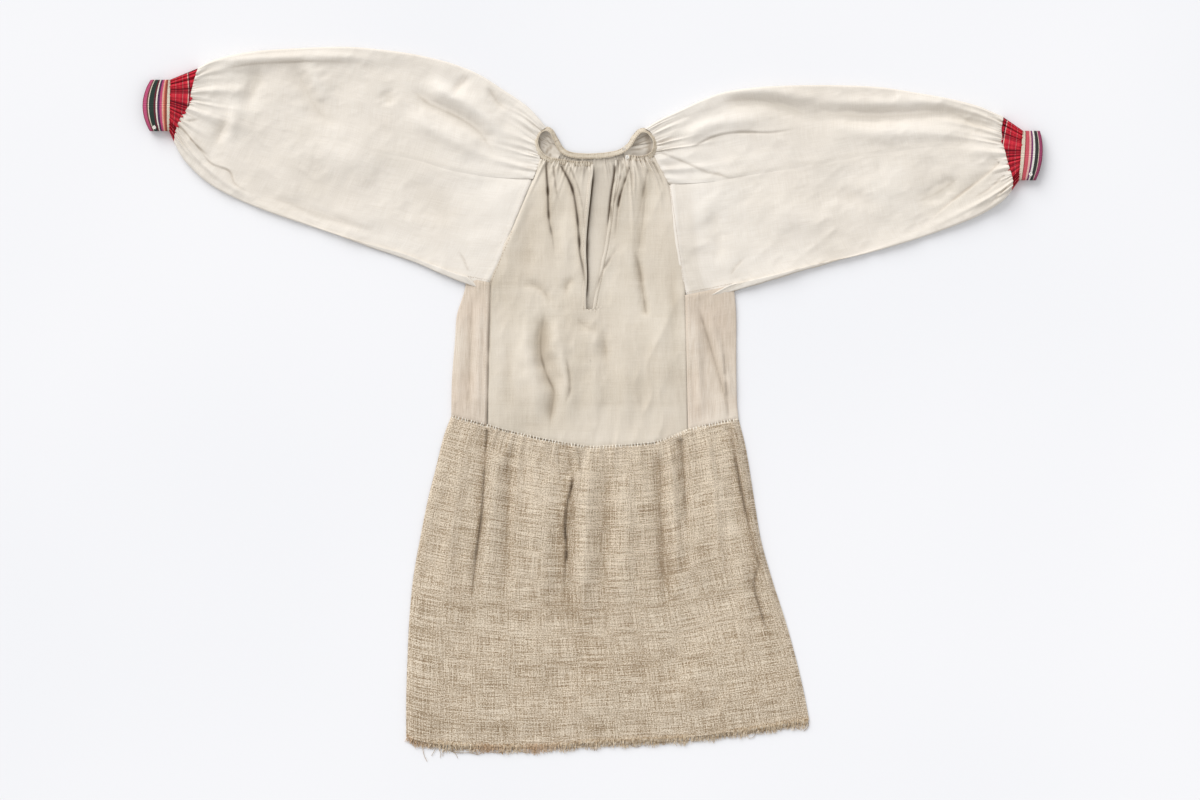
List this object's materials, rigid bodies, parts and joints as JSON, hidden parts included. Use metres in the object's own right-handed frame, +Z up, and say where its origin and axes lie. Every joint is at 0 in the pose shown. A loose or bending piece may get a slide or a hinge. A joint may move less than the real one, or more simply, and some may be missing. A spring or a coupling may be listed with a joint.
{
  "type": "embroidered linen shirt laid flat",
  "caption": "Long linen folk shirt laid flat, front up: raglan sleeves gathered at neck and striped cuffs, front slit, coarse skirt with frayed hem.",
  "frame": {"origin": "on the surface that the shirt lies on, under the middle of its box", "axes": "+X across the shirt to the sleeve at the right of the picture, +Y from the hem to the neck, +Z up from the surface"},
  "size_m": [1.4534, 1.1544, 0.02],
  "materials": {
    "sleeve_linen": "bleached plain-weave linen, matt, crumpled",
    "body_linen": "fine plain-weave linen, warm beige, matt",
    "skirt_linen": "coarse slubby tow linen, matt",
    "red_band": "red cotton pattern weave with thin white lines",
    "cuff_ribbon": "striped woven ribbon in plum, green, red, white, purple and coral",
    "white_thread": "white sewing thread"
  },
  "bodies": {
    "root": {"front_panel": "body_linen", "back_panel": "body_linen", "side_panel_left": "body_linen", "side_panel_right": "body_linen", "neckband": "body_linen", "sleeve_left_upper": "sleeve_linen", "sleeve_left_lower": "sleeve_linen", "sleeve_right_upper": "sleeve_linen", "sleeve_right_lower": "sleeve_linen", "red_band_left": "red_band", "red_band_right": "red_band", "cuff_left": "cuff_ribbon", "cuff_right": "cuff_ribbon", "skirt_front": "skirt_linen", "skirt_back": "skirt_linen", "hem_fringe_front": "skirt_linen", "hem_fringe_back": "skirt_linen", "neck_button": "white_thread", "cuff_knot_left": "white_thread", "cuff_knot_right": "white_thread"}
  },
  "joints": []
}
